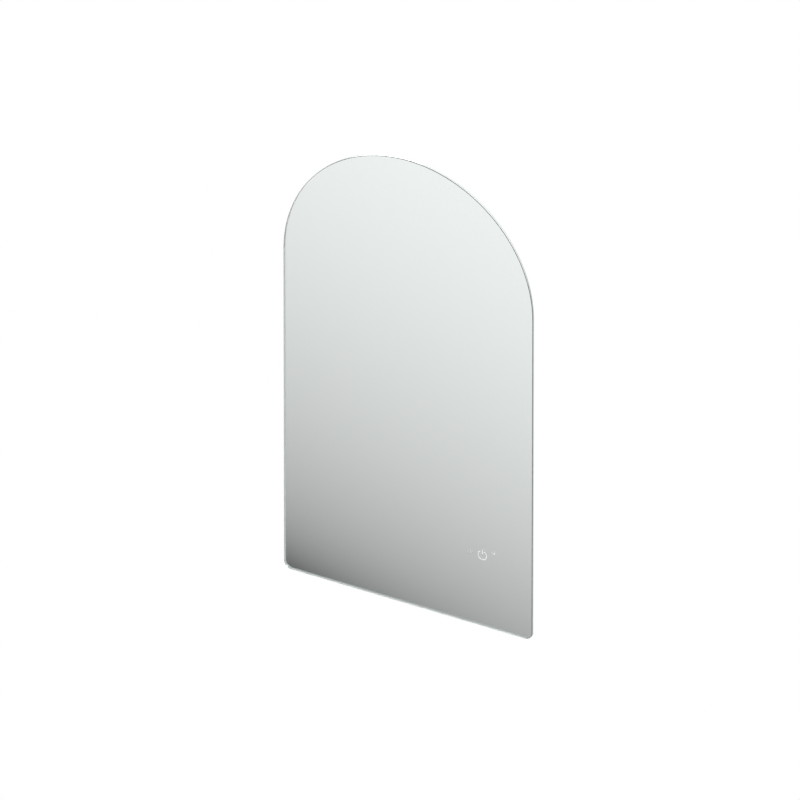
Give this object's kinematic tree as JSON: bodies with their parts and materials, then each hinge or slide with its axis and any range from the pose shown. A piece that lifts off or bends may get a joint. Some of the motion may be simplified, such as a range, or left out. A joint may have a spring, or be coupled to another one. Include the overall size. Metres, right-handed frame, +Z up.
{
  "type": "wall mirror",
  "caption": "Frameless arched wall mirror with a polished edge, a back-lit aluminium frame, touch symbols and a wall cleat that it lifts off.",
  "frame": {"origin": "centre of the two round screw holes of the wall cleat, on the wall plane at y = 0", "axes": "+Z up the wall, +Y into the wall (the glass faces -Y), +X to the right for someone who faces the glass"},
  "size_m": [0.5, 0.0335, 0.8999],
  "materials": {
    "glass": "clear float glass, ground and polished edge",
    "silver": "bright silver seen through the glass, grey paint behind",
    "film": "woven-backed safety film",
    "foam": "closed-cell foam tape",
    "profile": "satin anodised extrusion",
    "cast_key": "die-cast",
    "steel_sheet": "galvanised sheet",
    "fastener": "zinc-plated",
    "rubber": "matt",
    "opal": "opal, satin",
    "led_strip": "white flexible board",
    "led": "phosphor under clear resin",
    "foil": "clear polyester over foil",
    "copper": "bright",
    "brass": "bright",
    "board": "solder mask over glass fibre",
    "white_plastic": "fine spark texture",
    "grey_plastic": "fine spark texture",
    "dark_plastic": "glass-filled, matt",
    "ferrite": "sintered",
    "capacitor": "shrink sleeve",
    "lead": "flexible sheath"
  },
  "bodies": {
    "cleat": {"wall_cleat": "steel_sheet"},
    "mirror": {"mirror_glass": "glass", "silver_coat": "silver", "safety_film": "film", "bonding_tape": "foam", "arch_profile": "profile", "left_profile": "profile", "right_profile": "profile", "bottom_profile": "profile", "corner_keys": "cast_key", "arch_keys": "cast_key", "key_screws": "fastener", "wall_bumpers": "rubber", "led_tape": "led_strip", "led_chips": "led", "arch_diffuser": "opal", "side_diffusers": "opal", "bottom_diffuser": "opal", "hanging_rail": "steel_sheet", "rail_screws": "fastener", "gear_tray": "steel_sheet", "tray_screws": "fastener", "demister_pad": "foil", "heating_track": "copper", "demister_terminal": "dark_plastic", "sensor_window": "opal", "touch_springs": "brass", "sensor_board": "board", "sensor_housing": "white_plastic", "driver_case": "white_plastic", "driver_lid": "white_plastic", "driver_board": "board", "driver_transformer": "ferrite", "driver_capacitors": "capacitor", "driver_choke": "copper", "driver_terminals": "grey_plastic", "driver_screws": "fastener", "driver_lid_screws": "fastener", "junction_box": "grey_plastic", "junction_lid": "grey_plastic", "junction_screws": "fastener", "junction_lid_screws": "fastener", "terminal_block": "white_plastic", "terminal_screws": "brass", "cable_gland": "dark_plastic", "gland_locknut": "dark_plastic", "gland_seal": "rubber", "gland_nut": "dark_plastic", "supply_lead": "lead", "led_lead": "lead", "sensor_lead": "lead", "demister_lead": "lead", "cable_clips": "white_plastic"}
  },
  "joints": [
    {"name": "lift_off", "type": "slide", "parent": "cleat", "child": "mirror", "axis": [0, 0, 1], "range_m": [0, 0.02]}
  ]
}
